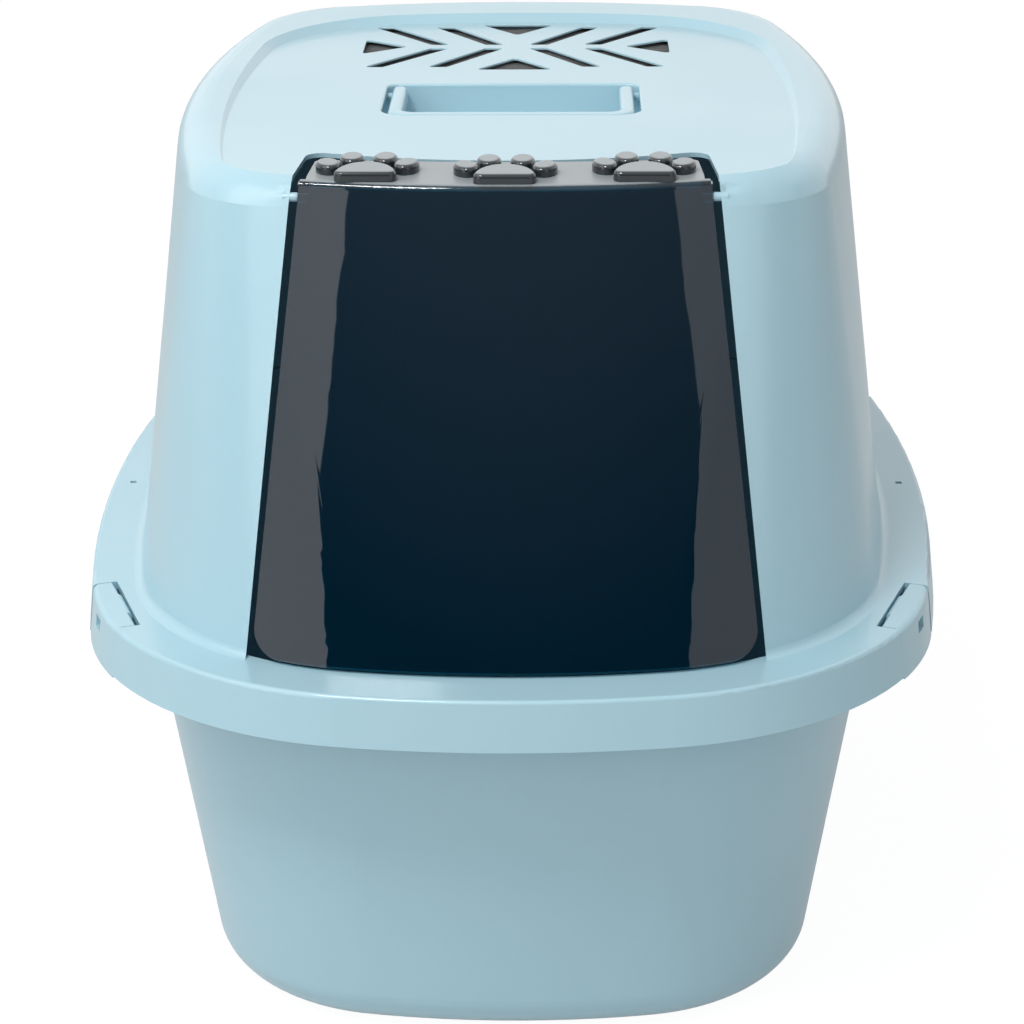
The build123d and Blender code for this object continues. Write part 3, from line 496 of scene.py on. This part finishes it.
@dataclass
class LitterBox:
    """The whole object: shells, flap, handle, clips, and the filter behind the vents."""

    shell: MouldedPolypropylene = field(default_factory=MouldedPolypropylene)
    flap: SmokedStyrene = field(default_factory=SmokedStyrene)
    fleece: CarbonFleece = field(default_factory=CarbonFleece)
    pad: FilterPad = field(default_factory=FilterPad)

    def build(self, frame: dict[str, Any]) -> None:
        """Dress the CAD nodes and add the pad.
        """
        shells = ("tub", "hood", "handle", "filter_frame") + tuple(side.value for side in Side)
        dress(frame, shells, self.shell.build())
        dress(frame, ("flap",), self.flap.build())
        self.pad.build(self.fleece.build())


@dataclass
class Softbox:
    """A rectangular studio lamp that looks at one point, turned about its own axis by its roll."""

    name: str
    place: tuple[float, float, float]
    target: tuple[float, float, float]
    width: float
    height: float
    watts: float
    roll: float = 0.0

    def build(self) -> bpy.types.Object:
        """Add the lamp.

        Returns:
            The lamp's object.
        """
        lamp = bpy.data.lights.new(self.name, "AREA")
        lamp.shape = "RECTANGLE"
        lamp.size, lamp.size_y = self.width, self.height
        lamp.energy = self.watts
        item = bpy.data.objects.new(self.name, lamp)
        item.location = self.place
        aim = Vector(self.target) - Vector(self.place)
        turn = aim.to_track_quat("-Z", "Y") @ Quaternion((0.0, 0.0, 1.0), math.radians(self.roll))
        item.rotation_euler = turn.to_euler()
        item.visible_camera = False
        bpy.context.scene.collection.objects.link(item)
        return item


@dataclass
class Studio:
    """Pale floor, plain soft light and the camera at the photograph's viewing angle."""

    focal_px: float = 2900.0
    frame_px: float = 1024.0
    axis_px: tuple[float, float] = (515.0, 482.6)
    distance: float = 1.4407
    pitch: float = 20.5
    yaw: float = 1.2
    roll: float = 0.0065
    aim_height: float = 0.1888
    floor_half: float = 8.0
    floor_colour: str = "#CDCFCF"
    floor_glow: float = 1.12
    floor_seen: float = 0.85
    floor_gloss: float = 0.3
    plain_light: float = 0.46
    side_light: float = -0.02
    dim_room: float = 0.012
    rear_wall: float = 1.2
    ceiling: float = 1.0

    def build(self) -> None:
        """Make the floor, the world, the lamps and the camera."""
        self.build_camera()
        self.build_floor()
        self.build_world()
        for box in self.softboxes():
            box.build()

    def softboxes(self) -> tuple[Softbox, ...]:
        """The lamps round the object."""
        middle = (0.0, 0.0, 0.22)
        return (
            Softbox("softbox_left", (-1.38, -1.50, 0.72), middle, 1.12, 1.3, 6.4, roll=-18.0),
            Softbox("softbox_right", (1.38, -1.50, 0.72), middle, 1.12, 1.3, 3.7, roll=20.0),
            Softbox("key_left", (-1.45, -0.55, 1.65), middle, 1.2, 1.0, 8.0),
            Softbox("key_front", (-0.48, -0.92, 1.74), middle, 0.5, 0.35, 15.5),
            # Stands for the light that the thin walls let through into the cabin
            Softbox("cabin_glow", (0.0, -0.02, 0.33), (0.0, 0.2, 0.25), 0.16, 0.1, 0.015),
        )

    def build_camera(self) -> bpy.types.Object:
        """Add the camera.

        Returns:
            The camera's object.
        """
        data = bpy.data.cameras.new("camera")
        data.sensor_width = 36.0
        data.lens = self.focal_px / self.frame_px * data.sensor_width
        data.shift_x = (self.frame_px / 2 - self.axis_px[0]) / self.frame_px
        data.shift_y = (self.axis_px[1] - self.frame_px / 2) / self.frame_px
        pitch, yaw = math.radians(self.pitch), math.radians(self.yaw)
        back = Vector((math.cos(pitch) * math.sin(yaw), -math.cos(pitch) * math.cos(yaw), math.sin(pitch)))
        right = Vector((math.cos(yaw), math.sin(yaw), 0.0))
        up = back.cross(right)
        turned_right = right * math.cos(self.roll) - up * math.sin(self.roll)
        turned_up = right * math.sin(self.roll) + up * math.cos(self.roll)
        camera = bpy.data.objects.new("camera", data)
        rotation = Matrix((turned_right, turned_up, back)).transposed()
        place = Vector((0.0, 0.0, self.aim_height)) + back * self.distance
        camera.matrix_world = Matrix.Translation(place) @ rotation.to_4x4()
        bpy.context.scene.collection.objects.link(camera)
        bpy.context.scene.camera = camera
        return camera

    def build_floor(self) -> bpy.types.Object:
        """Add the floor, which the camera sees as white and which keeps a faint shadow.

        Returns:
            The floor's object.
        """
        half = self.floor_half
        mesh = bpy.data.meshes.new("floor")
        square = [(-half, -half, 0), (half, -half, 0), (half, half, 0), (-half, half, 0)]
        mesh.from_pydata(square, [], [(0, 1, 2, 3)])
        floor = bpy.data.objects.new("floor", mesh)
        bpy.context.scene.collection.objects.link(floor)
        material, tree = new_material("floor_white_paper")
        diffuse = add_node(tree, "BsdfDiffuse", {"Color": linear(self.floor_colour)})
        glow = add_node(tree, "Emission", {"Color": (1.0, 1.0, 1.0, 1.0), "Strength": self.floor_glow})
        path = add_node(tree, "LightPath")
        shiny = add_node(
            tree, "Math", {0: path.outputs["Is Glossy Ray"], 1: self.floor_gloss}, operation="MULTIPLY"
        )
        share = add_node(
            tree,
            "Math",
            {0: path.outputs["Is Camera Ray"], 1: self.floor_seen, 2: shiny.outputs[0]},
            operation="MULTIPLY_ADD",
        )
        mixed = add_node(
            tree, "MixShader", {0: share.outputs[0], 1: diffuse.outputs[0], 2: glow.outputs[0]}
        )
        finish_material(tree, mixed)
        mesh.materials.append(material)
        return floor

    def build_world(self) -> None:
        """Fill the world: white where the camera looks, a dimmer studio for the light and the gloss."""
        world = bpy.data.worlds.new("studio")
        bpy.context.scene.world = world
        world.use_nodes = True
        tree = world.node_tree
        tree.nodes.clear()
        way = add_node(tree, "TexCoord").outputs["Generated"]
        parts = add_node(tree, "SeparateXYZ", {"Vector": way})
        # Plain light, a little stronger from the left
        plain = add_node(
            tree,
            "Math",
            {0: parts.outputs["X"], 1: self.side_light, 2: self.plain_light},
            operation="MULTIPLY_ADD",
        )
        # What the gloss sees: a lit white wall behind and above, and a dim room on the camera's side
        rear = add_node(
            tree,
            "MapRange",
            {
                "Value": parts.outputs["Y"],
                "From Min": -0.3,
                "From Max": 0.4,
                "To Min": self.dim_room,
                "To Max": self.rear_wall,
            },
        )
        above = add_node(
            tree,
            "MapRange",
            {
                "Value": parts.outputs["Z"],
                "From Min": 0.2,
                "From Max": 0.9,
                "To Min": self.dim_room,
                "To Max": self.ceiling,
            },
        )
        gloss = add_node(
            tree, "Math", {0: rear.outputs["Result"], 1: above.outputs["Result"]}, operation="MAXIMUM"
        )
        path = add_node(tree, "LightPath")
        unseen = add_node(
            tree,
            "Mix",
            {0: path.outputs["Is Glossy Ray"], 2: plain.outputs[0], 3: gloss.outputs[0]},
            data_type="FLOAT",
        )
        level = add_node(
            tree,
            "Mix",
            {0: path.outputs["Is Camera Ray"], 2: unseen.outputs[0], 3: 1.0},
            data_type="FLOAT",
        )
        glow = add_node(tree, "Background", {"Color": (1.0, 1.0, 1.0, 1.0), "Strength": level.outputs[0]})
        add_node(tree, "OutputWorld", {"Surface": glow.outputs[0]})


def corners(bounds: tuple[Vector, Vector]) -> list[list[float]]:
    """A box's lowest and highest corners as plain lists."""
    return [list(corner) for corner in bounds]


def main() -> None:
    logging.basicConfig(level=logging.INFO, format="%(name)s: %(message)s")
    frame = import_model()
    LitterBox().build(frame)
    Studio().build()
    bpy.context.scene.view_settings.view_transform = "Standard"


if __name__ == "__main__":
    main()
